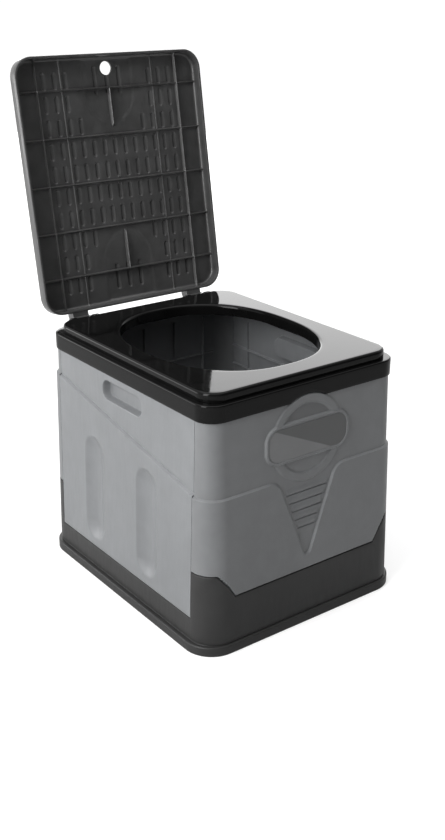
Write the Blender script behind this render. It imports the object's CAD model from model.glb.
"""Portable folding camp toilet: finished surfaces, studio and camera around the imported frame."""
import math

import bmesh
import bpy
import numpy as np
from mathutils import Euler, Matrix, Vector


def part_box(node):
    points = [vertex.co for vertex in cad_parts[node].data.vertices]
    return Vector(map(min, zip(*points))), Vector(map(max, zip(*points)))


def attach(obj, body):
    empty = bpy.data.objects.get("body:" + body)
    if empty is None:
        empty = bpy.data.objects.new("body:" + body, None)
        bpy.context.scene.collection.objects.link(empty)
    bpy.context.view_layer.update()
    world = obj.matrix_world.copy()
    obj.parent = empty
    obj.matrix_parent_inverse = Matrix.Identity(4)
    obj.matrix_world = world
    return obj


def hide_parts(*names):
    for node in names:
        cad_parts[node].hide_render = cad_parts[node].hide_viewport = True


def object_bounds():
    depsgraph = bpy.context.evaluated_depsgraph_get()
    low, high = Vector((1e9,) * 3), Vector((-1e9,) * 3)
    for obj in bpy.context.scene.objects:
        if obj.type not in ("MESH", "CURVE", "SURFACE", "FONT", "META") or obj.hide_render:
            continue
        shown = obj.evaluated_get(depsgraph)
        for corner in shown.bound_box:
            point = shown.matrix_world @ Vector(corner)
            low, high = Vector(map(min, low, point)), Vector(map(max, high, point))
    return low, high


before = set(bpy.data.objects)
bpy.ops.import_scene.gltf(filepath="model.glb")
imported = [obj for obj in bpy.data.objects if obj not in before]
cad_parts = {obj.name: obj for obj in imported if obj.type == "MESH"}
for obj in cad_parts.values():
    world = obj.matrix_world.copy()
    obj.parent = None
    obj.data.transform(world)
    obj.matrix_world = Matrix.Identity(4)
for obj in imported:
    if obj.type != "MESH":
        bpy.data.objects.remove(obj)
CAD_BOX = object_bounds()
MM = 0.001


# ---- materials

def srgb(level):
    """Linear value of an sRGB level from 0 to 255."""
    c = level / 255
    return c / 12.92 if c <= 0.04045 else ((c + 0.055) / 1.055) ** 2.4


def grey(level, warmth=0.0):
    """Neutral colour, or slightly warm or cool."""
    v = srgb(level)
    return (v * (1 + warmth), v, v * (1 - warmth), 1.0)


class Nodes:
    """Short way to add and join shader nodes."""

    def __init__(self, name):
        self.material = bpy.data.materials.new(name)
        self.material.use_nodes = True
        self.tree = self.material.node_tree
        self.shader = self.tree.nodes["Principled BSDF"]

    def feed(self, socket, value):
        if isinstance(value, bpy.types.NodeSocket):
            self.tree.links.new(value, socket)
        else:
            socket.default_value = value

    def add(self, kind, inputs=None, **settings):
        node = self.tree.nodes.new(kind)
        for key, value in settings.items():
            setattr(node, key, value)
        for key, value in (inputs or {}).items():
            self.feed(node.inputs[key], value)
        return node

    def noise(self, scale, detail=2.0, stretch=(1, 1, 1)):
        place = self.add("ShaderNodeTexCoord").outputs["Object"]
        if stretch != (1, 1, 1):
            place = self.add("ShaderNodeMapping", {"Vector": place, "Scale": stretch}).outputs["Vector"]
        return self.add("ShaderNodeTexNoise",
                        {"Vector": place, "Scale": scale, "Detail": detail}).outputs["Fac"]

    def ramp(self, value, low, high, low_out=0.0, high_out=1.0):
        return self.add("ShaderNodeMapRange", {
            "Value": value, "From Min": low, "From Max": high,
            "To Min": low_out, "To Max": high_out}).outputs["Result"]

    def maths(self, operation, a, b):
        return self.add("ShaderNodeMath", {0: a, 1: b}, operation=operation).outputs[0]

    def mix(self, factor, a, b):
        node = self.add("ShaderNodeMix", {"Factor": factor, 6: a, 7: b}, data_type="RGBA")
        return node.outputs[2]

    def set(self, **values):
        for key, value in values.items():
            self.feed(self.shader.inputs[key.replace("_", " ")], value)


def edge_mask(n, width):
    """1 on worn edges, 0 on flat ground: where the rounded normal leaves the true one."""
    rounded = n.add("ShaderNodeBevel", {"Radius": width}, samples=4).outputs["Normal"]
    true = n.add("ShaderNodeNewGeometry").outputs["Normal"]
    agree = n.add("ShaderNodeVectorMath", {0: rounded, 1: true}, operation="DOT_PRODUCT")
    return n.ramp(agree.outputs["Value"], 0.97, 0.80)


def darker_half(n):
    """1 in the upper right part of the plate across the emblem, above a slanting line."""
    place = n.add("ShaderNodeTexCoord").outputs["Object"]
    axes = n.add("ShaderNodeSeparateXYZ", {0: place}).outputs
    along = n.maths("MULTIPLY", axes["X"], TONE_SLOPE)
    return n.ramp(n.maths("ADD", axes["Z"], along), TONE_LEVEL - TONE_BLUR, TONE_LEVEL + TONE_BLUR)


def moulded(name, base, worn, rough, grain, grain_height, gloss=0.0, mottle=0.08, edge=0.0007,
            warmth=0.0, dark=None, specular=0.5):
    """Moulded plastic: spark-eroded grain, faint flow marks, uneven sheen, and rubbed edges.
    base and worn are sRGB levels of the surface and its edges, grain is a texture scale, and grain_height
    and edge are metres. dark is (level, mask): a darker tone, and a function for its share."""
    n = Nodes(name)
    flow = n.noise(9.0, 3.0, (1, 1, 0.35))
    cloud = n.noise(55.0, 4.0)
    fine = n.noise(grain, 3.0)
    scuff = n.noise(240.0, 5.0, (1, 1, 0.15))
    low, high = grey(base * (1 - mottle), warmth), grey(base * (1 + mottle), warmth)
    body = n.mix(n.ramp(n.maths("ADD", flow, cloud), 0.75, 1.25), low, high)
    if dark:
        body = n.mix(dark[1](n), body, grey(dark[0], warmth))
    wear = n.maths("MULTIPLY", edge_mask(n, edge), n.ramp(cloud, 0.42, 0.62, 0.25, 1.0))
    colour = n.mix(wear, body, grey(worn, warmth))
    sheen = n.ramp(n.maths("ADD", cloud, scuff), 0.8, 1.2, rough - 0.05, rough + 0.06)
    grain_bump = n.add("ShaderNodeBump", {
        "Strength": 0.6, "Distance": grain_height, "Height": fine}).outputs["Normal"]
    normal = n.add("ShaderNodeBump", {
        "Strength": 0.25, "Distance": FLOW_HEIGHT, "Height": flow, "Normal": grain_bump}).outputs["Normal"]
    n.set(Base_Color=colour, Roughness=sheen, Normal=normal, IOR=1.5, Specular_IOR_Level=specular)
    if gloss:
        n.set(Coat_Weight=gloss, Coat_Roughness=n.ramp(scuff, 0.35, 0.75, 0.03, 0.10), Coat_IOR=COAT_IOR)
    return n.material


def metal(name, level, rough, brush, warmth=0.0):
    """Drawn or rolled steel with fine lines along it and duller patches. level is its sRGB level."""
    n = Nodes(name)
    strokes = n.noise(brush, 4.0, (1, 0.08, 1))
    cloud = n.noise(90.0, 4.0)
    colour = n.mix(n.ramp(cloud, 0.35, 0.65), grey(level * 0.82, warmth), grey(level, warmth))
    bump = n.add("ShaderNodeBump", {"Strength": 0.4, "Distance": BRUSH_HEIGHT, "Height": strokes})
    n.set(Base_Color=colour, Metallic=1.0, Normal=bump.outputs["Normal"],
          Roughness=n.ramp(n.maths("ADD", cloud, strokes), 0.7, 1.3, rough - 0.08, rough + 0.12))
    return n.material


def printed_tone(n):
    """The tone layer that the front shell's mesh carries."""
    return n.add("ShaderNodeAttribute", attribute_name="tone").outputs["Fac"]


TONE_SLOPE, TONE_LEVEL, TONE_BLUR = 0.454, 0.2299, 0.0006  # slanting line across the plate, m
FLOW_HEIGHT, BRUSH_HEIGHT = 0.0002, 0.00004  # of the flow marks and of the brushed lines, m
COAT_IOR = 1.22
MATERIALS = {
    "base_black": moulded("base_black", 38, 62, 0.46, 2600, 0.00007, warmth=0.006, specular=0.3),
    "shell_grey": moulded("shell_grey", 100, 134, 0.42, 2400, 0.00006, mottle=0.035, edge=0.001,
                          warmth=-0.03, dark=(84, printed_tone)),
    "panel_grey": moulded("panel_grey", 106, 142, 0.42, 2400, 0.00006, mottle=0.035, edge=0.001,
                          warmth=-0.035),
    "gloss_black": moulded("gloss_black", 12, 34, 0.34, 3200, 0.00001, gloss=1.0, mottle=0.15, edge=0.0005,
                           specular=0.0),
    "lid_black": moulded("lid_black", 58, 76, 0.36, 2800, 0.00004, gloss=0.5, mottle=0.10),
    "inlay_grey": moulded("inlay_grey", 100, 114, 0.34, 3000, 0.00002, gloss=0.3, mottle=0.03,
                          warmth=-0.02, dark=(68, darker_half)),
    "rod_steel": metal("rod_steel", 205, 0.30, 900),
    "spring_steel": metal("spring_steel", 190, 0.36, 700, 0.02),
    "foot_rubber": moulded("foot_rubber", 30, 52, 0.72, 1500, 0.00012, mottle=0.2),
}
SLOT_NODES = {
    "base_black": ["base_tray"], "foot_rubber": ["feet", "seat_pads"], "inlay_grey": ["front_inlay"],
    "shell_grey": ["front_shell", "back_shell"], "panel_grey": ["left_side_panel", "right_side_panel"],
    "gloss_black": ["rim_frame", "seat_plate"], "lid_black": ["lid"],
    "rod_steel": ["front_shell_rod", "back_shell_rod", "left_panel_rod", "right_panel_rod",
                  "rivets", "lid_hinge_pins"],
    "spring_steel": ["left_panel_spring", "right_panel_spring", "rim_clips"],
}
for slot, nodes in SLOT_NODES.items():
    for node in nodes:
        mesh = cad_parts[node].data
        mesh.materials.clear()
        mesh.materials.append(MATERIALS[slot])


# ---- driving sizes, mm

RIM_LOW, RIM_HIGH = (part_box("rim_frame")[i][2] / MM for i in (0, 1))
WALL_X, WALL_Y, CORNER = 135.9, 166.9, 22.0  # upper walls at the bottom of the rim
DRAFT = 0.028  # the walls spread by this much per mm going down
RELIEF = 2.5  # lower walls stand this much proud
WALL = 3.0
SEAM_Y = 143.8  # joint line between side panels and shells
GAP = 0.35  # half of the width of that joint line
SILL, POST_TOP, SIDE_SILL = 69.3, 99.3, 40.0  # top edge of the base wall: front, corner posts, sides
SILL_HALF, SLANT_HALF = 105.0, 124.0  # half widths where the slant up to the posts starts and ends
TONGUE_TOP, PANEL_TONGUE_TOP = 291.0, 286.0  # walls end here, inside the rim
TONGUE_IN, LAP_IN = 1.3, 0.9  # walls stand this far in, behind the rim and behind the base wall
STEP_FRONT, STEP_BACK = 190.7, 247.0
PANEL_STEP = (192.0, 246.0)
STEP_WIDTH = 2.0  # run of the rounded relief step
CREASE, CREASE_HALF = 0.9, 1.3  # small groove along the foot of the step
V_SIDE, V_FOOT = (36.0, 174.0), (4.5, 91.0)  # (half width, height) at two places on its edge
LOUVRE_LEVELS = (171.7, 160.5, 149.3, 138.1, 126.9)
LOUVRE_HEIGHT, LOUVRE_GROOVE = 1.1, 0.75  # bar above the surface, and groove below it
LOUVRE_GROOVE_HALF, LOUVRE_GROOVE_DROP = 1.2, 2.4
EMBLEM_Z = 233.6
RING_OUTER, RING_INNER = 52.0, 41.0
FRAME_X, FRAME_Z, FRAME_CORNER, FRAME_BORDER = 61.0, 23.6, 19.0, 4.5
RING_HEIGHT, FRAME_HEIGHT, HOLLOW_HEIGHT = 1.6, 2.6, 0.9  # of the emblem, from the upper walls
SHELL_FOOT = 24
SHELL_RIB_X, SHELL_RIB_Z, SHELL_RIB_ENDS = (-96, -48, 0, 48, 96), (110, 165, 220), (72, 274)
PANEL_RIB_Y, PANEL_RIB_Z, PANEL_RIB_ENDS = (-100, 4, 110), (205, 232), (58, 273)
WALL_RIB_HEIGHT = 3.0
WALL_RIB, LID_RIB = (1.5, 0.7), (1.25, 0.6)  # (half width at the foot, run of the side) for ridge()
GROOVE_Y, GROOVE_Z = (-54.0, 62.0), 121.5  # middles of the scooped grooves
GROOVE_WIDTH, GROOVE_LENGTH, GROOVE_DEPTH = 43.0, 138.0, 6.2
POCKET_Y, POCKET_Z, POCKET_HALF_Y, POCKET_HALF_Z = 1.0, 258.7, 41.5, 11.4
POCKET_CORNER, POCKET_DEPTH = 10.0, 9.0
POCKET_FLOOR = 2.5  # wall behind the pocket
PANEL_AXIS, SHELL_AXIS = (137.6, 38.0), (168.5, 20.0)  # rods, as (distance out, height)
PIVOT_BORE, KNUCKLE = 2.05, 3.8
SHELL_KNUCKLES = ((-60, 24.0), (60, 24.0))  # (middle, length) along the rod
PANEL_KNUCKLES = ((-95, 30.0), (0, 40.0), (95, 30.0))
BOSS, BOSS_BORE, BOSS_HALF = 4.2, 2.0, 6  # sleeves on the base floor that hold the rods
PANEL_BOSS_Y, SHELL_BOSS_X = (-126.0, -60.0, 60.0, 126.0), (-100.0, 0.0, 100.0)


# ---- mesh tools

def smooth(t):
    """Rounded step from 0 to 1."""
    t = np.clip(t, 0, 1)
    return t * t * (3 - 2 * t)


def soft_min(a, b, reach):
    """The smaller of two values, rounded off where they are within reach of each other."""
    h = np.clip(0.5 + 0.5 * (b - a) / reach, 0, 1)
    return b + (a - b) * h - reach * h * (1 - h)


def blend(a, b, share):
    return a + (b - a) * share


def ridge(away, half, run):
    """1 on top of a rib, 0 beside it, at a distance away from its middle line."""
    return smooth((half - away) / run)


def box_distance(u, v, half_u, half_v, radius):
    """Signed distance to a rounded rectangle, negative inside."""
    qu, qv = np.abs(u) - half_u + radius, np.abs(v) - half_v + radius
    return np.hypot(np.maximum(qu, 0), np.maximum(qv, 0)) + np.minimum(np.maximum(qu, qv), 0) - radius


def lines(low, high, step, fine=()):
    """Grid lines from low to high, closer together in the stretches (start, end, step) of fine."""
    ends = {low, high}
    for start, end, _ in fine:
        ends |= {min(max(start, low), high), min(max(end, low), high)}
    ends = sorted(ends)
    found = [low]
    for a, b in zip(ends, ends[1:]):
        middle = (a + b) / 2
        size = min([step] + [close for start, end, close in fine if start <= middle <= end])
        count = max(1, math.ceil((b - a) / size - 1e-6))
        found += [a + (b - a) * i / count for i in range(1, count + 1)]
    return np.array(found)


def around(places, reach, step):
    """Fine stretches for lines(), one round each place."""
    return [(place - reach, place + reach, step) for place in places]


class Piece:
    """One mesh, gathered from closed lofts, prisms and turned parts, all in mm."""

    def __init__(self):
        self.bm = bmesh.new()

    def faces(self, points, quads):
        made = [self.bm.verts.new(p) for p in points]
        return [self.bm.faces.new([made[i] for i in quad]) for quad in quads]

    def loft(self, rows, ring=True, tube=True, cap_rows=()):
        """Skin through rows of stations. ring closes each row, and tube joins the last row to the first.
        An open row gets its two ends filled, and cap_rows fills whole rows."""
        rows = np.asarray(rows, float)
        count, size = rows.shape[:2]
        index = np.arange(count * size).reshape(count, size)
        if ring:
            index = np.concatenate([index, index[:, :1]], 1)
        if tube:
            index = np.concatenate([index, index[:1]], 0)
        quads = np.stack([index[:-1, :-1], index[:-1, 1:], index[1:, 1:], index[1:, :-1]], -1)
        quads = [list(q) for q in quads.reshape(-1, 4)]
        if not ring:
            quads += [list(index[:count, 0]), list(index[:count, -1][::-1])]
        quads += [list(index[row, :size]) for row in cap_rows]
        self.faces(rows.reshape(-1, 3), quads)

    def prism(self, outline, direction, bevel=0.5):
        """Solid from a flat outline moved along direction, with its edges rounded."""
        count = len(outline)
        points = [Vector(p) for p in outline] + [Vector(p) + Vector(direction) for p in outline]
        sides = [[i, (i + 1) % count, count + (i + 1) % count, count + i] for i in range(count)]
        made = self.faces(points, sides + [list(range(count))[::-1], list(range(count, 2 * count))])
        edges = list(dict.fromkeys(edge for face in made for edge in face.edges))
        if bevel:
            bmesh.ops.bevel(self.bm, geom=edges, offset=bevel, segments=2, profile=0.5, affect="EDGES")

    def bar(self, low, high, bevel=0.4):
        (x0, y0, z0), (x1, y1, z1) = low, high
        self.prism([(x0, y0, z0), (x1, y0, z0), (x1, y1, z0), (x0, y1, z0)], (0, 0, z1 - z0), bevel)

    def sleeve(self, start, end, radius, bore, edge=0.4, count=40):
        """Round barrel with a bore through it."""
        start, end = Vector(start), Vector(end)
        along = (end - start).normalized()
        across = along.orthogonal().normalized()
        other = along.cross(across)
        length = (end - start).length
        profile = [(bore, 0), (radius - edge, 0), (radius - edge * 0.3, edge * 0.3), (radius, edge),
                   (radius, length - edge), (radius - edge * 0.3, length - edge * 0.3),
                   (radius - edge, length), (bore, length)]
        rows = []
        for r, s in profile:
            angles = [2 * math.pi * i / count for i in range(count)]
            rows.append([start + along * s + (across * math.cos(a) + other * math.sin(a)) * r
                         for a in angles])
        self.loft(rows)

    def finish(self, name, body, slot, *nodes, angle=32, tone=None):
        """Make the object that replaces those CAD nodes. tone gives a number for each point."""
        bmesh.ops.remove_doubles(self.bm, verts=self.bm.verts, dist=0.0005)
        loose = [v for v in self.bm.verts if not v.link_faces]
        bmesh.ops.delete(self.bm, geom=loose, context="VERTS")
        bmesh.ops.recalc_face_normals(self.bm, faces=self.bm.faces)
        bmesh.ops.scale(self.bm, verts=self.bm.verts, vec=(MM, MM, MM))
        mesh = bpy.data.meshes.new(name)
        self.bm.to_mesh(mesh)
        self.bm.free()
        mesh.shade_smooth()
        mesh.set_sharp_from_angle(angle=math.radians(angle))
        if tone:
            layer = mesh.attributes.new("tone", "FLOAT", "POINT")
            layer.data.foreach_set("value", [float(tone(v.co / MM)) for v in mesh.vertices])
        mesh.materials.append(MATERIALS[slot])
        shown = bpy.data.objects.new(name, mesh)
        bpy.context.scene.collection.objects.link(shown)
        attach(shown, body)
        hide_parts(*nodes)
        return shown


# ---- plans

class Plan:
    """Stations round a rounded rectangle, each a core point and an outward direction.
    The four straight sides carry the given shares (-1 to 1) and each corner the same number of steps."""

    def __init__(self, x_shares, y_shares, arc=14):
        self.sides = []
        for quarter, shares in enumerate((y_shares, x_shares, y_shares, x_shares)):
            self.sides += [(quarter, "straight", share) for share in shares]
            self.sides += [(quarter, "corner", i / arc) for i in range(1, arc)]

    def ring(self, half_x, half_y, radius, centre_y=0.0):
        cx, cy = half_x - radius, half_y - radius
        found = []
        for quarter, kind, share in self.sides:
            start = quarter * math.pi / 2
            if kind == "straight":
                core = [(cx, share * cy), (-share * cx, cy), (-cx, -share * cy), (share * cx, -cy)][quarter]
                angle = start
            else:
                core = [(cx, cy), (-cx, cy), (-cx, -cy), (cx, -cy)][quarter]
                angle = start + share * math.pi / 2
            found.append((core[0] + radius * math.cos(angle),
                          core[1] + radius * math.sin(angle) + centre_y))
        return np.array(found)


def level(ring, z):
    """Row of a loft: a plan ring at height z, one number or one for each station."""
    return np.column_stack([ring, np.broadcast_to(z, len(ring))])


def quarter_round(radius, steps=4):
    """(inset, drop) pairs from the side of a rounded edge to its top."""
    turns = [math.pi / 2 * i / steps for i in range(steps + 1)]
    return [(radius * (1 - math.cos(a)), radius * (1 - math.sin(a))) for a in turns]


def spread(z):
    """How far the drafted walls stand out at height z, from where they are at the rim."""
    return DRAFT * (RIM_LOW - z)


# ---- shells

SHELL_ARC = 16  # steps round each corner


def above_sill(x, z):
    """Distance above the slanting top edge of the base wall."""
    run, rise = SLANT_HALF - SILL_HALF, POST_TOP - SILL
    slant = ((SILL_HALF - np.abs(x)) * rise + (z - SILL) * run) / math.hypot(run, rise)
    return np.maximum(z - POST_TOP, np.minimum(z - SILL, slant)) - 0.3


def v_distance(x, z):
    """Distance outside the V, negative inside it."""
    run, rise = V_SIDE[0] - V_FOOT[0], V_SIDE[1] - V_FOOT[1]
    side = ((np.abs(x) - V_FOOT[0]) * rise - (z - V_FOOT[1]) * run) / math.hypot(run, rise)
    return -soft_min(-side, z - V_FOOT[1] + 2.6, 4.0)


def emblem_relief(x, z):
    """Blank ring with a blank bordered plate across it."""
    radius = np.hypot(x, z - EMBLEM_Z)
    band = np.minimum(radius - RING_INNER, RING_OUTER - radius)
    ring = RING_HEIGHT * smooth((band + 0.4) / 1.8)
    plate = box_distance(x, z - EMBLEM_Z, FRAME_X, FRAME_Z, FRAME_CORNER)
    border = FRAME_HEIGHT * smooth((0.5 - plate) / 2.0)
    hollow = smooth((-plate - FRAME_BORDER + 0.6) / 1.0)
    return blend(np.maximum(ring, border), HOLLOW_HEIGHT, hollow)


def louvres(x, z):
    """Raised bars inside the V, each with a narrow groove under its lower edge."""
    height = np.zeros(np.broadcast(x, z).shape)
    slope = (V_SIDE[0] - V_FOOT[0]) / (V_SIDE[1] - V_FOOT[1])
    for middle in LOUVRE_LEVELS:
        half = V_FOOT[0] + (middle - V_FOOT[1]) * slope - 3.4
        ends = smooth((half - np.abs(x)) / 3.0)
        rise = smooth((z - middle + 2.0) / 1.3) * smooth((middle + 6.4 - z) / 6.0)
        groove = smooth(1 - np.abs(z - middle + LOUVRE_GROOVE_DROP) / LOUVRE_GROOVE_HALF)
        height = height + ends * (LOUVRE_HEIGHT * rise - LOUVRE_GROOVE * groove)
    return height


def crease(raised):
    """Depth of the groove along the foot of a step; raised is the distance past the step's middle."""
    return CREASE * smooth(1 - np.abs(raised + STEP_WIDTH / 2 + CREASE_HALF * 0.6) / CREASE_HALF)


def shell_outside(front, x, z):
    """How far the outside of a shell stands from the upper wall surface."""
    if front:
        raised = soft_min(STEP_FRONT - z, v_distance(x, z), 13.0)
        relief = RELIEF * smooth((raised + STEP_WIDTH / 2) / STEP_WIDTH) - crease(raised)
        relief = np.maximum(relief, emblem_relief(x, z)) + louvres(x, z)
        crown = smooth((RING_OUTER - np.hypot(x, z - EMBLEM_Z) + 0.3) / 1.2)
    else:
        relief = RELIEF * smooth((STEP_BACK - z + STEP_WIDTH / 2) / STEP_WIDTH)
        crown = 0.0
    relief = blend(-LAP_IN, relief, smooth(above_sill(x, z) / 1.1))
    return blend(relief, -TONGUE_IN, smooth((z - RIM_LOW + 0.6) / 1.0) * (1 - crown))


def shell(node, front):
    """Front or back wall with both its corners, ribs and knuckles, from level rows of stations."""
    sign = -1 if front else 1
    cx, cy = WALL_X - CORNER, WALL_Y - CORNER
    detail = [(-66, 66, 1.0)] if front else []
    xs = lines(-cx, cx, 4.0, detail + around((-114, 114), 12, 1.2) + around(SHELL_RIB_X, 1.6, 0.5))
    arc = [math.pi / 2 * i / SHELL_ARC for i in range(1, SHELL_ARC)]
    cores = [(-cx, SEAM_Y + GAP, math.pi), (-cx, cy, math.pi)]
    cores += [(-cx, cy, math.pi - a) for a in arc]
    cores += [(x, cy, math.pi / 2) for x in xs]
    cores += [(cx, cy, math.pi / 2 - a) for a in arc]
    cores += [(cx, cy, 0.0), (cx, SEAM_Y + GAP, 0.0)]
    core = np.array([c[:2] for c in cores])
    out = np.array([(math.cos(c[2]), math.sin(c[2])) for c in cores])

    def row(z, offset):
        reach = np.broadcast_to(CORNER + spread(z) + offset, len(core))[:, None]
        plan = core + out * reach
        return np.column_stack([plan[:, 0], sign * plan[:, 1], np.full(len(core), z)])

    fine = [(SILL - 1, POST_TOP + 3, 1.0), (RIM_LOW - 3, RIM_LOW + 9, 0.8)]
    fine += [(86, 288, 0.8)] if front else around((STEP_BACK,), 4, 0.6)
    x = row(RIM_LOW, 0)[:, 0]
    rows = [row(z, shell_outside(front, x, z)) for z in lines(SHELL_FOOT, TONGUE_TOP, 6.0, fine)]
    flat = np.abs(x) < cx
    ribs_x = np.max([ridge(np.abs(x - at), *WALL_RIB) for at in SHELL_RIB_X], 0) * flat
    fine = around(SHELL_RIB_Z, 1.6, 0.5) + around(SHELL_RIB_ENDS, 1, 0.5)
    for z in lines(SHELL_FOOT, TONGUE_TOP, 14.0, fine)[::-1]:
        across = max(ridge(abs(z - at), *WALL_RIB) for at in SHELL_RIB_Z) * flat
        inside = smooth((z - SHELL_RIB_ENDS[0]) / 1.0) * smooth((SHELL_RIB_ENDS[1] - z) / 1.0)
        rows.append(row(z, -WALL - WALL_RIB_HEIGHT * np.maximum(ribs_x, across) * inside))
    piece = Piece()
    piece.loft(rows, ring=False)
    y, z = SHELL_AXIS
    for x0, length in SHELL_KNUCKLES:
        start, end = (x0 - length / 2, sign * y, z), (x0 + length / 2, sign * y, z)
        piece.sleeve(start, end, KNUCKLE, PIVOT_BORE)
        web = [(start[0], sign * (y + 3.4), z + 1), (start[0], sign * (y + 1.4), z + 2.6),
               (start[0], sign * (y + 2.0), 30), (start[0], sign * (y + 4.2), 30)]
        piece.prism(web, (length, 0, 0), 0.3)

    def tone(p):
        inside = smooth((RING_INNER - 0.5 - math.hypot(p.x, p.z - EMBLEM_Z)) / 1.2)
        return inside * smooth((p.z - EMBLEM_Z - FRAME_Z - 0.2) / 1.0) * (p.y < -WALL_Y)

    return piece.finish(node + "_moulded", "base", "shell_grey", node, tone=tone)


# ---- side panels

def scoop(y, z, grow):
    """Depth of the two scooped grooves; grow gives the matching bulge behind."""
    radius = ((GROOVE_WIDTH / 2) ** 2 + GROOVE_DEPTH ** 2) / (2 * GROOVE_DEPTH)
    half = (GROOVE_LENGTH - GROOVE_WIDTH) / 2
    depth = np.full(np.broadcast(y, z).shape, -99.0)
    for middle in GROOVE_Y:
        away = np.hypot(y - middle, np.maximum(np.abs(z - GROOVE_Z) - half, 0))
        bowl = np.sqrt(np.maximum((radius + grow) ** 2 - away ** 2, 0)) - radius + GROOVE_DEPTH
        depth = np.maximum(depth, bowl)
    return depth


def panel_outside(y, z):
    """How far the outside of a side panel stands from the upper wall surface."""
    share = (y + SEAM_Y) / (2 * SEAM_Y)
    line = blend(PANEL_STEP[0], PANEL_STEP[1], share)
    relief = RELIEF * smooth((line - z + STEP_WIDTH / 2) / STEP_WIDTH) - crease(line - z)
    relief = np.minimum(relief, soft_min(relief + 0.25, RELIEF - scoop(y, z, 0), 0.7))
    hand = box_distance(y - POCKET_Y, z - POCKET_Z, POCKET_HALF_Y, POCKET_HALF_Z, POCKET_CORNER)
    return relief - POCKET_DEPTH * smooth((1.0 - hand) / 3.0)


def side_panel(node, side, body):
    """Side panel with its pocket, grooves, ribs and knuckles; side is -1 for the left one."""
    fine = [(POCKET_Y - POCKET_HALF_Y - 4, POCKET_Y + POCKET_HALF_Y + 4, 1.2)]
    fine += around((POCKET_Y - 36, POCKET_Y + 36), 10, 0.8)
    fine += [(m - GROOVE_WIDTH / 2 - 3, m + GROOVE_WIDTH / 2 + 3, 1.4) for m in GROOVE_Y]
    ys = lines(-SEAM_Y + GAP, SEAM_Y - GAP, 2.0, fine + around(PANEL_RIB_Y, 1.6, 0.5))
    top = RIM_LOW - 0.3

    def row(z, offset):
        x = side * (WALL_X + spread(z) + np.broadcast_to(offset, len(ys)))
        return np.column_stack([x, ys, np.full(len(ys), z)])

    bottom = SIDE_SILL + 0.4
    edge = [(bottom, 1.6), (bottom + 0.3, 0.9), (bottom + 0.9, 0.25)]
    rows = [row(z, RELIEF - inset * 0.5) for z, inset in edge]
    for z in lines(bottom + 1.6, top - 0.8, 2.6, [(188, 250, 0.6), (245.5, 272, 0.6)]):
        rows.append(row(z, panel_outside(ys, z)))
    rows += [row(top - 0.2, -0.25), row(top, -0.9), row(top, -TONGUE_IN), row(PANEL_TONGUE_TOP, -TONGUE_IN)]
    ribs_y = np.max([ridge(np.abs(ys - at), *WALL_RIB) for at in PANEL_RIB_Y], 0)
    rows += [row(PANEL_TONGUE_TOP, -WALL), row(top, -WALL)]
    for z in lines(44, top - 2, 3.0, around(PANEL_RIB_Z, 1.6, 0.5) + [(243, 273, 1.0)])[::-1]:
        across = max(ridge(abs(z - at), *WALL_RIB) for at in PANEL_RIB_Z)
        ribs = (WALL_RIB_HEIGHT * np.maximum(ribs_y, across)
                * smooth((z - PANEL_RIB_ENDS[0]) / 2.0) * smooth((PANEL_RIB_ENDS[1] - z) / 2.0))
        hand = box_distance(ys - POCKET_Y, z - POCKET_Z, POCKET_HALF_Y, POCKET_HALF_Z, POCKET_CORNER)
        back = np.maximum(WALL + ribs, (POCKET_DEPTH + POCKET_FLOOR) * smooth((3.6 - hand) / 2.4))
        back = np.maximum(back, scoop(ys, z, WALL) - RELIEF)
        rows.append(row(z, -back))
    piece = Piece()
    piece.loft(rows, ring=False)
    x, z = PANEL_AXIS
    for y, length in PANEL_KNUCKLES:
        y0, y1 = y - length / 2, y + length / 2
        piece.sleeve((side * x, y0, z), (side * x, y1, z), KNUCKLE, PIVOT_BORE)
        arm = [(side * (x + 2.6), y0, z + 2.4), (side * (x + 2.9), y0, 52), (side * (x + 1.4), y0, 52),
               (side * (x - 1.6), y0, z + 3.2)]
        piece.prism(arm, (0, length, 0), 0.3)
    return piece.finish(node + "_moulded", body, "panel_grey", node)


# ---- base tray

FLANGE_X, FLANGE_Y, FLANGE_CORNER, FLANGE_TOP = 151.0, 179.3, 37.0, 12.0
FLOOR_RIB_Y, FLOOR_RIB_X = (-100, -50, 0, 50, 100), (-90, -45, 0, 45, 90)
FLOOR_RIB_HALF, FLOOR_RIB_ENDS, FLOOR_RIB_TOP = 1, (136, 164), 8
FLOOR_LOW = 1  # ribs and blocks start inside the floor
WALL_FOOT, FLOOR_ROUND = 14.6, 6.0  # lowest level of the full wall, and of its inside above the floor
POST_DRAFT = 0.7  # run of the upright ends of the corner posts


def wall_ring(plan, z, offset):
    """Plan ring of the wall surface at height z, moved outwards; z may differ from station to station."""
    z = np.broadcast_to(z, len(plan.sides))
    grow = spread(z) + offset
    base = plan.ring(WALL_X, WALL_Y, CORNER)
    core = plan.ring(WALL_X - CORNER, WALL_Y - CORNER, 0)
    return core + (base - core) * ((CORNER + grow) / CORNER)[:, None]


def base_top(ring):
    """Height of the top edge of the base wall at each station."""
    x, y = np.abs(ring[:, 0]), np.abs(ring[:, 1])
    front = SILL + (POST_TOP - SILL) * np.clip((x - SILL_HALF) / (SLANT_HALF - SILL_HALF), 0, 1)
    side = SIDE_SILL + (POST_TOP - SIDE_SILL) * np.clip((y - SEAM_Y) / POST_DRAFT, 0, 1)
    return np.where(y > WALL_Y - CORNER + 3, front, side)


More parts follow.
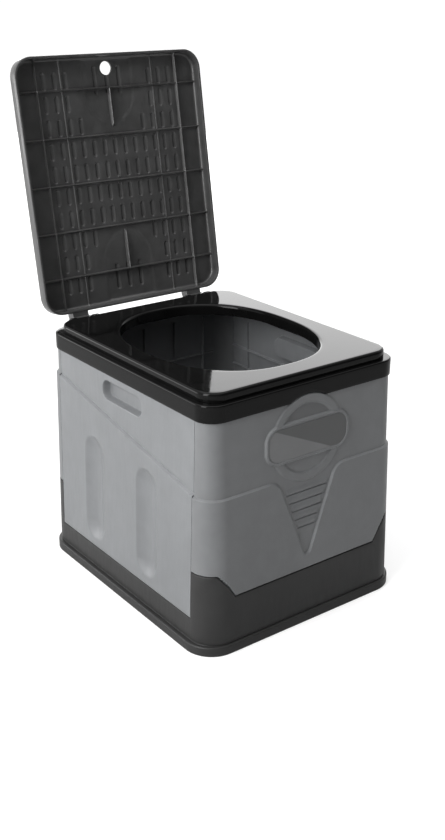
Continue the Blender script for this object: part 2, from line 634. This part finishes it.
def base_tray():
    """Base: foot flange, drafted wall that rises to four posts, ribbed floor and sleeves for the rods."""
    cx, cy = WALL_X - CORNER, WALL_Y - CORNER
    xs = lines(-cx, cx, 12.0, around((-SILL_HALF, SILL_HALF), 3, 1.0)) / cx
    ys = lines(-cy, cy, 12.0, around((-SEAM_Y - 0.3, SEAM_Y + 0.3), 1.2, 0.35)) / cy
    plan = Plan(xs, ys, arc=28)
    top = base_top(plan.ring(WALL_X, WALL_Y, CORNER))
    rows = [level(plan.ring(FLANGE_X - 0.8, FLANGE_Y - 0.8, FLANGE_CORNER - 0.8), CAD_BOX[0][2] / MM),
            level(plan.ring(FLANGE_X, FLANGE_Y, FLANGE_CORNER), 0.8)]
    for inset, drop in quarter_round(1.8):
        ring = plan.ring(FLANGE_X - inset, FLANGE_Y - inset, FLANGE_CORNER - inset)
        rows.append(level(ring, FLANGE_TOP - drop))
    for z, offset in ((FLANGE_TOP, 1.9), (12.5, 1.6), (13.2, 1.6), (13.9, 2.3), (WALL_FOOT, RELIEF)):
        rows.append(level(wall_ring(plan, z, offset), z))
    for share in (0.25, 0.5, 0.75, 0.94):
        z = WALL_FOOT + (top - 1.0 - WALL_FOOT) * share
        rows.append(level(wall_ring(plan, z, RELIEF), z))
    for inset, drop in quarter_round(0.8, 3):
        rows.append(level(wall_ring(plan, top - drop, RELIEF - inset), top - drop))
    rows.append(level(wall_ring(plan, top, RELIEF - WALL + 0.5), top))
    for share in (0.99, 0.6, 0.2):
        z = FLOOR_ROUND + (top - FLOOR_ROUND) * share
        rows.append(level(wall_ring(plan, z, RELIEF - WALL), z))
    for turn in np.linspace(0, math.pi / 2, 5):
        inset, drop = WALL * (1 - math.cos(turn)), WALL * math.sin(turn)
        rows.append(level(wall_ring(plan, FLOOR_ROUND, RELIEF - WALL - inset), FLOOR_ROUND - drop))
    piece = Piece()
    piece.loft(rows, tube=False, cap_rows=(0, len(rows) - 1))
    end_x, end_y = FLOOR_RIB_ENDS
    for y in FLOOR_RIB_Y:
        piece.bar((-end_x, y - FLOOR_RIB_HALF, FLOOR_LOW), (end_x, y + FLOOR_RIB_HALF, FLOOR_RIB_TOP))
    for x in FLOOR_RIB_X:
        piece.bar((x - FLOOR_RIB_HALF, -end_y, FLOOR_LOW), (x + FLOOR_RIB_HALF, end_y, FLOOR_RIB_TOP))
    x, z = PANEL_AXIS
    for side in (-1, 1):
        for y in PANEL_BOSS_Y:
            piece.sleeve((side * x, y - BOSS_HALF, z), (side * x, y + BOSS_HALF, z), BOSS, BOSS_BORE)
            piece.bar((side * x - 4.1, y - 5.8, FLOOR_LOW), (side * x + 4.1, y + 5.8, z - 3.2))
    y, z = SHELL_AXIS
    for side in (-1, 1):
        for x in SHELL_BOSS_X:
            piece.sleeve((x - BOSS_HALF, side * y, z), (x + BOSS_HALF, side * y, z), BOSS, BOSS_BORE)
            piece.bar((x - 5.8, side * y - 4.1, FLOOR_LOW), (x + 5.8, side * y + 4.1, z - 3.2))
    return piece.finish("base_tray_moulded", "base", "base_black", "base_tray")


# ---- rim

RIM_OVERHANG, RIM_WALL, WEB = 1.9, 2.8, 2.8
RIM_INNER_X, RIM_INNER_Y, RIM_INNER_CORNER = 118.0, 147.0, 14.0
COLLAR_FOOT = 288
LID_AXIS = (164.8, 302.7)
EAR_X, EAR_WIDTH = 88.0, 22.0
EAR_NOTCH, NOTCH_FLOOR = 5.7, 2.0  # room for the turning ears: radius, and greatest depth in the rim


def rim_frame():
    """Rim: wall that arches over the emblem, top face with two notches, and inner collar."""
    half_x, half_y, radius = WALL_X + RIM_OVERHANG, WALL_Y + RIM_OVERHANG, CORNER + RIM_OVERHANG
    cx, cy = half_x - radius, half_y - radius
    notch = [(-EAR_X - 13, -EAR_X + 13, 1.0), (EAR_X - 13, EAR_X + 13, 1.0)]
    xs = lines(-cx, cx, 6.0, notch + [(-27, 27, 1.0)]) / cx
    plan = Plan(xs, lines(-cy, cy, 8.0) / cy, arc=20)
    outline = plan.ring(half_x, half_y, radius)
    arch = (RING_OUTER + 0.7) ** 2 - outline[:, 0] ** 2
    front = (outline[:, 1] < 0) & (arch > 0)
    foot = np.where(front, EMBLEM_Z + np.sqrt(np.maximum(arch, 0)), RIM_LOW)
    foot = np.maximum(foot, RIM_LOW)

    def outer(inset, z):
        return level(plan.ring(half_x - inset, half_y - inset, radius - inset), z)

    def inner(grow, z):
        return level(plan.ring(RIM_INNER_X + grow, RIM_INNER_Y + grow, RIM_INNER_CORNER + grow), z)

    rows = [outer(0.5, foot), outer(0.15, foot + 0.15), outer(0, foot + 0.5), outer(0, foot + 3)]
    rows += [outer(0, RIM_HIGH - 6)]
    rows += [outer(inset, RIM_HIGH - drop) for inset, drop in quarter_round(1.8, 5)]
    edge_out, edge_in = outer(1.8, RIM_HIGH), inner(0.8, RIM_HIGH)
    rows += [blend(edge_out, edge_in, share) for share in (0.12, 0.24, 0.36, 0.5, 0.65, 0.82, 1.0)]
    rows += [inner(0.2, RIM_HIGH - 0.2), inner(0, RIM_HIGH - 0.8), inner(0, COLLAR_FOOT + 0.6),
             inner(0.4, COLLAR_FOOT), inner(2.4, COLLAR_FOOT), inner(2.4, RIM_HIGH - WEB)]
    rows += [outer(RIM_WALL, RIM_HIGH - WEB)]
    rows += [outer(RIM_WALL, foot + 1), outer(RIM_WALL - 0.3, foot)]
    rows = np.array(rows)
    y, z = LID_AXIS
    x_away = np.abs(np.abs(rows[..., 0]) - EAR_X)
    y_away = rows[..., 1] - y
    floor = z - np.sqrt(np.maximum(EAR_NOTCH ** 2 - y_away ** 2, 0))
    heights = rows[..., 2]
    inside = (np.abs(y_away) < EAR_NOTCH) & (x_away < EAR_WIDTH / 2 + 1.2) & (heights > RIM_HIGH - 2.4)
    cut = np.minimum(heights, np.maximum(floor, RIM_HIGH - NOTCH_FLOOR))
    rows[..., 2] = np.where(inside, cut, heights)
    piece = Piece()
    piece.loft(rows)
    return piece.finish("rim_frame_moulded", "base", "gloss_black", "rim_frame")


# ---- seat

SEAT_HIGH = 310.0
SEAT_X, SEAT_FRONT, SEAT_BACK, SEAT_CORNER = 131.2, -163.2, 159.5, 24.0
HOLE_X, HOLE_Y, HOLE_CENTRE_Y, HOLE_POWER = 104.0, 129.0, -1.0, 2.35
LIP = 14.0  # collar round the opening
LUG, LUG_WIDTH, EAR, PIN = 5.4, 9.0, 4.6, 2.5  # lid hinge: three radii, and the lugs' width
SEAT_RIM = 4.0  # inner roll of the seat down to its collar
SEAT_RIB_Y, SEAT_RIB_FOOT = (-104.0, 0.0, 104.0), 300.4


def seat_plate():
    """Seat: rounded plate with an oval opening (a superellipse), hinge lugs at the back, ribs below."""
    middle, half_y = (SEAT_FRONT + SEAT_BACK) / 2, (SEAT_BACK - SEAT_FRONT) / 2
    cx, cy = SEAT_X - SEAT_CORNER, half_y - SEAT_CORNER
    plan = Plan(lines(-cx, cx, 4.0) / cx, lines(-cy, cy, 4.0) / cy, arc=20)

    def outer(inset, z):
        return level(plan.ring(SEAT_X - inset, half_y - inset, SEAT_CORNER - inset, middle), z)

    def hole(grow, z):
        way = plan.ring(SEAT_X, half_y, SEAT_CORNER)
        size = (np.abs(way[:, 0] / (HOLE_X + grow)) ** HOLE_POWER
                + np.abs(way[:, 1] / (HOLE_Y + grow)) ** HOLE_POWER) ** (-1 / HOLE_POWER)
        return level(way * size[:, None] + [0, HOLE_CENTRE_Y], z)

    foot = RIM_HIGH + 0.3
    rows = [outer(0.6, foot), outer(0.1, foot + 0.2), outer(0, foot + 0.7), outer(0, SEAT_HIGH - 4.4)]
    rows += [outer(inset, SEAT_HIGH - drop) for inset, drop in quarter_round(3.6, 7)]
    edge_out, edge_in = outer(3.6, SEAT_HIGH), hole(SEAT_RIM, SEAT_HIGH)
    rows += [blend(edge_out, edge_in, share) for share in (0.08, 0.2, 0.35, 0.5, 0.65, 0.8, 0.92)]
    for turn in np.linspace(0, math.pi / 2, 9):
        rows.append(hole(SEAT_RIM * (1 - math.sin(turn)), SEAT_HIGH - SEAT_RIM * (1 - math.cos(turn))))
    rows += [hole(0, SEAT_HIGH - LIP + 0.6), hole(0.5, SEAT_HIGH - LIP), hole(2.4, SEAT_HIGH - LIP)]
    rows += [hole(3.0, SEAT_HIGH - LIP + 0.6), hole(3.0, SEAT_HIGH - 5.0), hole(5.5, SEAT_HIGH - 3.0)]
    rows += [outer(WALL + 1, SEAT_HIGH - 3.0), outer(WALL, SEAT_HIGH - 4.4), outer(WALL, foot)]
    piece = Piece()
    piece.loft(rows)
    y, z = LID_AXIS
    for ear in (-EAR_X, EAR_X):
        for side in (-1, 1):
            near = EAR_WIDTH / 2 + 0.4
            x0, x1 = sorted((ear + side * near, ear + side * (near + LUG_WIDTH)))
            piece.sleeve((x0, y, z), (x1, y, z), LUG, PIN, 0.6)
            low = RIM_HIGH + 0.4
            block = [(x0, SEAT_BACK - 1, low), (x0, y, low), (x0, y, z + 4.9), (x0, SEAT_BACK - 1, z + 4.9)]
            piece.prism(block, (x1 - x0, 0, 0), 0.5)
    for y in SEAT_RIB_Y:
        for side in (-1, 1):
            far = SEAT_X - 1.5
            share = max(1 - abs((y - HOLE_CENTRE_Y) / HOLE_Y) ** HOLE_POWER, 0)
            near = HOLE_X * share ** (1 / HOLE_POWER) + 2.0
            x0, x1 = sorted((side * near, side * far))
            piece.bar((x0, y - 1.5, SEAT_RIB_FOOT), (x1, y + 1.5, SEAT_HIGH - 2.5))
    return piece.finish("seat_plate_moulded", "seat", "gloss_black", "seat_plate")


# ---- lid

LID_OPEN = math.radians(99.17)  # from closed on the seat to the stop
LID_UNDERSIDE, LID_BACK, LID_LENGTH, LID_X, LID_CORNER = 310.4, 155.0, 312.0, 134.4, 24.0
LID_HEIGHT, LID_SKIN = 17.0, 3.0
FINGER_HOLE, FINGER_HOLE_AT = 8.3, 295.0
MARK = 1.2  # height of the dashes outside
WELL, DASH_SLANT = 2.6, 0.85  # depth of the dashes inside, and the share that it rises across them
GATE_AT, GATE_RADIUS, GATE_HEIGHT = 161.0, 1.5, 1.6  # small moulding point at the middle
BULGE, DISH = 1.8, 2.6  # of the arch-shaped fields, outside and inside
DASH_PITCH_X, DASH_PITCH_Y, DASH_FIRST, ROWS = 15.2, 27.9, 31.4, 10
DASH_HALF, LONG_DASH_HALF = (2.8, 9.8), (2.6, 16.5)
LONG_DASH_X, LONG_DASH_ROWS = (-17.6, 0.0, 17.6), (34.5, 280.5)
CROSS_RIBS, CROSS_RIB_HEIGHT = (42.8, 100.0, 157.1, 214.2, 271.4), 3.5
LONG_RIBS = ((-102, 4.0), (102, 4.0), (-66.5, 0.8), (66.5, 0.8))  # (x, height)
CENTRE_RIBS, CENTRE_RIB_HEIGHT = ((43, 93), (226, 272)), 3.0
OUTER_ROUND, INNER_ROUND = 4.0, 3.5  # rounded edges of the top, outside and inside
ARCH_HALF, ARCH_INSET, ARCH_LENGTH = 37.0, 5.0, (87.0, 79.0)
HOLE_PATCH = 12.0  # half size of the square of grid that is bent round the finger hole


def dash_spots():
    """Centres (x, distance from the back) of the short dashes."""
    spots = []
    for row in range(ROWS):
        from_end = min(row, ROWS - 1 - row)
        first = {0: 4, 1: 4, 2: 3}.get(from_end, 0)
        for column in range(first, 7):
            for side in ((-1, 1) if column else (1,)):
                spots.append((side * column * DASH_PITCH_X, DASH_FIRST + row * DASH_PITCH_Y))
    return spots


def dash_depth(x, d, slant=0.0):
    """1 inside a dash, 0 outside, with sloping sides. With slant, the floor rises towards +X."""
    depth = np.zeros(x.shape)
    marks = [(spot, DASH_HALF) for spot in dash_spots()]
    marks += [((at, row), LONG_DASH_HALF) for row in LONG_DASH_ROWS for at in LONG_DASH_X]
    for (at, row), (half_x, half_y) in marks:
        near = (np.abs(x - at) < half_x + 1.5) & (np.abs(d - row) < half_y + 1.5)
        away = box_distance(x[near] - at, d[near] - row, half_x, half_y, half_x)
        floor = 1 - slant * np.clip((x[near] - at) / half_x * 0.5 + 0.5, 0, 1)
        depth[near] = np.maximum(depth[near], floor * smooth((0.45 - away) / 0.9))
    return depth


def arch_depth(x, d):
    """Dished arch-shaped field at each end: 1 along its middle line, falling away to a soft edge."""
    depth = np.zeros(x.shape)
    for start, sign, length in ((ARCH_INSET, 1, ARCH_LENGTH[0]),
                                (LID_LENGTH - ARCH_INSET, -1, ARCH_LENGTH[1])):
        along = (d - start) * sign
        round_end = ARCH_HALF - np.hypot(x, np.maximum(along - (length - ARCH_HALF), 0))
        inset = np.clip(np.minimum(round_end, along + 2.0) / ARCH_HALF, 0, 1)
        depth = np.maximum(depth, 0.25 * smooth(inset * 14) + 0.75 * (1 - (1 - inset) ** 2))
    return depth


def lid_ribs(x, d):
    """Height of the ribs under the lid, with the small moulding point at its middle."""
    height = np.zeros(x.shape)
    for at in CROSS_RIBS:
        height = np.maximum(height, CROSS_RIB_HEIGHT * ridge(np.abs(d - at), *LID_RIB))
    for at, depth in LONG_RIBS:
        height = np.maximum(height, depth * ridge(np.abs(x - at), *LID_RIB))
    for start, end in CENTRE_RIBS:
        ends = smooth((np.minimum(d - start, end - d) + 0.5) / 1.0)
        height = np.maximum(height, CENTRE_RIB_HEIGHT * ends * ridge(np.abs(x), *LID_RIB))
    return np.maximum(height, GATE_HEIGHT * smooth(GATE_RADIUS + 0.3 - np.hypot(x, d - GATE_AT)))


def lid_grid():
    """Flat grid over the lid: x and distance from the back, bent to round corners and a round finger hole.
    Also which of its cells are kept, which is all of them but those inside the hole."""
    half_y = LID_LENGTH / 2
    xs = around([s * c * DASH_PITCH_X for c in range(7) for s in (-1, 1)], 3.5, 0.9)
    xs += around(LONG_DASH_X, 3.2, 0.9) + around([at for at, _ in LONG_RIBS] + [0], 1.4, 0.56)
    xs += [(-HOLE_PATCH, HOLE_PATCH, 1.6), (-ARCH_HALF - 3, ARCH_HALF + 3, 2.2)]
    xs += around((-LID_X, LID_X), 7, 1.0)
    dash_rows = [DASH_FIRST + r * DASH_PITCH_Y for r in range(ROWS)]
    ds = around([d + s * 8.5 for d in dash_rows for s in (-1, 1)], 2, 1.0)
    ds += around([d + s * 14.9 for d in LONG_DASH_ROWS for s in (-1, 1)], 2.2, 1.0)
    ds += around(CROSS_RIBS, 1.4, 0.56) + around((GATE_AT,), 2.4, 0.7) + around((0, LID_LENGTH), 7, 1.0)
    ds += [(FINGER_HOLE_AT - HOLE_PATCH, FINGER_HOLE_AT + HOLE_PATCH, 1.6)]
    corner = LID_CORNER
    x_lines = lines(-LID_X, LID_X, 4.0, xs + around((-FINGER_HOLE, FINGER_HOLE), 0.01, 1))
    hole_ends = (FINGER_HOLE_AT - FINGER_HOLE, FINGER_HOLE_AT + FINGER_HOLE)
    d_lines = lines(0, LID_LENGTH, 4.0, ds + around(hole_ends, 0.01, 1))
    x, d = np.meshgrid(x_lines, d_lines)
    cells = np.maximum(np.abs((x[1:, 1:] + x[:-1, :-1]) / 2),
                       np.abs((d[1:, 1:] + d[:-1, :-1]) / 2 - FINGER_HOLE_AT)) > FINGER_HOLE
    u, v = x, d - FINGER_HOLE_AT
    square = np.maximum(np.maximum(np.abs(u), np.abs(v)), 1e-6)
    share = np.clip((square - FINGER_HOLE) / (HOLE_PATCH - FINGER_HOLE), 0, 1)
    pull = blend(square / np.maximum(np.hypot(u, v), 1e-6), 1.0, share)
    x, d = u * pull, v * pull + FINGER_HOLE_AT
    a = np.clip((np.abs(x) - LID_X + corner) / corner, 0, 1)
    b = np.clip((np.abs(d - half_y) - half_y + corner) / corner, 0, 1)
    bend = (a > 0) & (b > 0)
    new_x = LID_X - corner + corner * a * np.sqrt(1 - b * b / 2)
    new_d = half_y - corner + corner * b * np.sqrt(1 - a * a / 2)
    x = np.where(bend, np.sign(x) * new_x, x)
    d = np.where(bend, half_y + np.sign(d - half_y) * new_d, d)
    return x, d, cells


def lid_side(x, d, edge_lift):
    """Outward direction across the rounded outline at each point, and its distance inside the edge."""
    half_y = LID_LENGTH / 2
    across = np.maximum(np.abs(x) - LID_X + LID_CORNER, 0)
    along = np.maximum(np.abs(d - half_y) - half_y + LID_CORNER, 0)
    size = np.maximum(np.hypot(across, along), 1e-6)
    inside = LID_CORNER - np.hypot(across, along) + edge_lift
    return np.sign(x) * across / size, np.sign(d - half_y) * along / size, inside


def edge_drop(inside, radius):
    """How far a rounded edge of that radius lies below the face, at a distance inside the edge."""
    away = np.clip(radius - inside, 0, radius)
    return radius - np.sqrt(radius ** 2 - away ** 2)


def lid():
    """Lid: skin with dashes, arches and ribs, a turned-down edge all round, and the two hinge ears.
    It is made closed on the seat and then turned open."""
    x, d, kept = lid_grid()
    top = LID_UNDERSIDE + LID_HEIGHT
    under = top - LID_SKIN
    out_x, out_d, inside = lid_side(x, d, 0)
    dashes, arches = dash_depth(x, d), arch_depth(x, d)
    near_hole = smooth((np.hypot(x, d - FINGER_HOLE_AT) - FINGER_HOLE - 0.6) / 1.5)
    high = top + MARK * dashes * near_hole + BULGE * arches - edge_drop(inside, OUTER_ROUND)
    pull = WALL * np.clip(1 - inside / 9.0, 0, 1)
    low_x, low_d = x - out_x * pull, d - out_d * pull
    low_inside = lid_side(low_x, low_d, -WALL)[2]
    ribs = lid_ribs(low_x, low_d) * near_hole
    wells = WELL * dash_depth(x, d, DASH_SLANT) * near_hole + DISH * arches
    low = under + wells * (1 - smooth(ribs / 0.8)) - ribs
    low = low - edge_drop(low_inside, INNER_ROUND) * (ribs < 1)
    count_d, count_x = x.shape
    index = np.arange(x.size).reshape(x.shape)
    flat_x, flat_y = x.ravel(), LID_BACK - d.ravel()
    inner_x, inner_y = low_x.ravel(), LID_BACK - low_d.ravel()
    points = [np.column_stack([flat_x, flat_y, high.ravel()])]
    points.append(np.column_stack([inner_x, inner_y, low.ravel()]))
    loop = np.concatenate([index[0, :-1], index[:-1, -1], index[-1, :0:-1], index[:0:-1, 0]])
    edge = ((0, 6), (0, 0.9), (0.12, 0.2), (0.3, 0), (0.7, 0), (0.88, 0.2), (1, 0.9), (1, 7))
    for share, lift in edge:
        points.append(np.column_stack([blend(flat_x[loop], inner_x[loop], share),
                                       blend(flat_y[loop], inner_y[loop], share),
                                       np.full(len(loop), LID_UNDERSIDE + lift)]))
    quads = []
    hole_sides = (((0, 3), (0, -1)), ((1, 2), (0, 1)), ((0, 1), (-1, 0)), ((3, 2), (1, 0)))
    for i in range(count_d - 1):
        for j in range(count_x - 1):
            cell = [index[i, j], index[i, j + 1], index[i + 1, j + 1], index[i + 1, j]]
            if kept[i, j]:
                quads += [cell, [k + x.size for k in cell[::-1]]]
                continue
            for (a, b), (di, dj) in hole_sides:
                if kept[i + di, j + dj]:
                    quads.append([cell[a], cell[b], cell[b] + x.size, cell[a] + x.size])
    skirt = [2 * x.size + k * len(loop) + np.arange(len(loop)) for k in range(len(edge))]
    skirt = [loop] + skirt + [loop + x.size]
    for upper, lower in zip(skirt, skirt[1:]):
        quads += [list(q) for q in np.column_stack([upper, lower, np.roll(lower, -1), np.roll(upper, -1)])]
    piece = Piece()
    piece.faces(np.concatenate(points), quads)
    y, z = LID_AXIS
    for ear in (-EAR_X, EAR_X):
        x0, x1 = ear - EAR_WIDTH / 2, ear + EAR_WIDTH / 2
        piece.sleeve((x0, y, z), (x1, y, z), EAR, PIN + 0.05, 0.5)
        neck = [(LID_BACK - 2, top - 3.0), (LID_BACK + 5, top - 2.6), (y + 2.6, top - 6.4),
                (y + 4.4, z + 1.0), (y + 3.6, z + 2.9), (y - 3.6, z + 2.9), (SEAT_BACK + 0.9, z + 2.0),
                (SEAT_BACK + 0.9, SEAT_HIGH + 1.0), (LID_BACK - 2, SEAT_HIGH + 1.0)]
        piece.prism([(x0, a, b) for a, b in neck], (EAR_WIDTH, 0, 0), 0.4)
    to_axis, back = Matrix.Translation((0, -y, -z)), Matrix.Translation((0, y, z))
    turn = back @ Matrix.Rotation(-LID_OPEN, 4, "X") @ to_axis
    bmesh.ops.transform(piece.bm, matrix=turn, verts=piece.bm.verts)
    return piece.finish("lid_moulded", "lid", "lid_black", "lid")


shell("front_shell", True)
shell("back_shell", False)
side_panel("left_side_panel", -1, "left_panel")
side_panel("right_side_panel", 1, "right_panel")
base_tray()
rim_frame()
seat_plate()
lid()


# ---- studio

FLOOR_SIZE, FLOOR_SHADE = 14.0, 0.55
FLOOR_LIFT = (0.46, 0.66)  # extra light of the floor, near the object and far from it
LIFT_REACH = (0.8, 2.5)  # where near ends and far begins, m
DIM, BRIGHT = 0.06, 1.05  # room light from the side that the front faces, and from behind
DIM_SPAN = (-0.75, 0.25)  # directions over which it goes from one to the other
CAMERA_PLACE = (-0.7404, -1.0030, 0.7133)
CAMERA_TURN = (67.55, 0.0, -36.71)
CAMERA_LENS = 46.62


def plain_white():
    """White floor. The extra light that the picture needs to stay white isn't cast on the object."""
    n = Nodes("studio_white")
    seen = n.add("ShaderNodeLightPath").outputs["Is Camera Ray"]
    place = n.add("ShaderNodeTexCoord").outputs["Object"]
    away = n.add("ShaderNodeVectorMath", {0: place}, operation="LENGTH").outputs["Value"]
    lift = n.ramp(away, *LIFT_REACH, *FLOOR_LIFT)
    n.set(Base_Color=(FLOOR_SHADE,) * 3 + (1,), Roughness=n.ramp(n.noise(3.0), 0.3, 0.7, 0.85, 0.95),
          Specular_IOR_Level=0.2, Emission_Color=(1, 1, 1, 1),
          Emission_Strength=n.maths("MULTIPLY", seen, lift))
    return n.material


def studio_floor():
    half = FLOOR_SIZE / 2
    mesh = bpy.data.meshes.new("studio_floor")
    corners = [(-half, -half), (half, -half), (half, half), (-half, half)]
    mesh.from_pydata([(x, y, CAD_BOX[0][2]) for x, y in corners], [], [(0, 1, 2, 3)])
    mesh.materials.append(plain_white())
    floor = bpy.data.objects.new("studio_floor", mesh)
    bpy.context.scene.collection.objects.link(floor)


def studio_dome():
    """White room. It lights the object less from the side that the front faces, and looks evenly white."""
    world = bpy.data.worlds.new("studio")
    world.use_nodes = True
    tree = world.node_tree
    place = tree.nodes.new("ShaderNodeTexCoord").outputs["Generated"]
    split = tree.nodes.new("ShaderNodeSeparateXYZ")
    tree.links.new(place, split.inputs[0])
    fade = tree.nodes.new("ShaderNodeMapRange")
    fade.interpolation_type = "SMOOTHSTEP"
    tree.links.new(split.outputs["Y"], fade.inputs["Value"])
    for key, value in zip(("From Min", "From Max", "To Min", "To Max"), (*DIM_SPAN, DIM, BRIGHT)):
        fade.inputs[key].default_value = value
    strength = tree.nodes.new("ShaderNodeMath")
    strength.operation = "MAXIMUM"
    tree.links.new(fade.outputs["Result"], strength.inputs[0])
    tree.links.new(tree.nodes.new("ShaderNodeLightPath").outputs["Is Camera Ray"], strength.inputs[1])
    tree.links.new(strength.outputs[0], tree.nodes["Background"].inputs["Strength"])
    tree.nodes["Background"].inputs["Color"].default_value = (1, 1, 1, 1)
    bpy.context.scene.world = world


def soft_box(name, place, aim, size, power):
    """Rectangular lamp at place, turned to aim: size in metres, power in watts."""
    light = bpy.data.lights.new(name, "AREA")
    light.shape = "RECTANGLE"
    light.size, light.size_y = size
    light.energy = power
    lamp = bpy.data.objects.new(name, light)
    lamp.location = place
    lamp.rotation_euler = (Vector(aim) - Vector(place)).to_track_quat("-Z", "Y").to_euler()
    bpy.context.scene.collection.objects.link(lamp)


def camera():
    """The camera, fitted to the photo's perspective."""
    data = bpy.data.cameras.new("camera")
    data.lens = CAMERA_LENS
    data.sensor_width = 36.0
    seen = bpy.data.objects.new("camera", data)
    seen.location = CAMERA_PLACE
    seen.rotation_euler = Euler([math.radians(a) for a in CAMERA_TURN])
    bpy.context.scene.collection.objects.link(seen)
    bpy.context.scene.camera = seen


studio_floor()
studio_dome()
soft_box("key_left", (-2.6, -0.5, 1.5), (0, 0, 0.2), (1.2, 2.8), 102)
soft_box("top", (-0.4, -0.3, 3.0), (0, 0, 0), (4.0, 4.0), 60)
soft_box("back_right", (2.3, 3.0, 1.3), (0, 0, 0.4), (3.2, 2.6), 76)
soft_box("back_left", (-2.2, 2.4, 0.5), (-0.1, 0.1, 0.2), (1.6, 1.0), 25)
camera()
bpy.context.scene.view_settings.view_transform = "Standard"
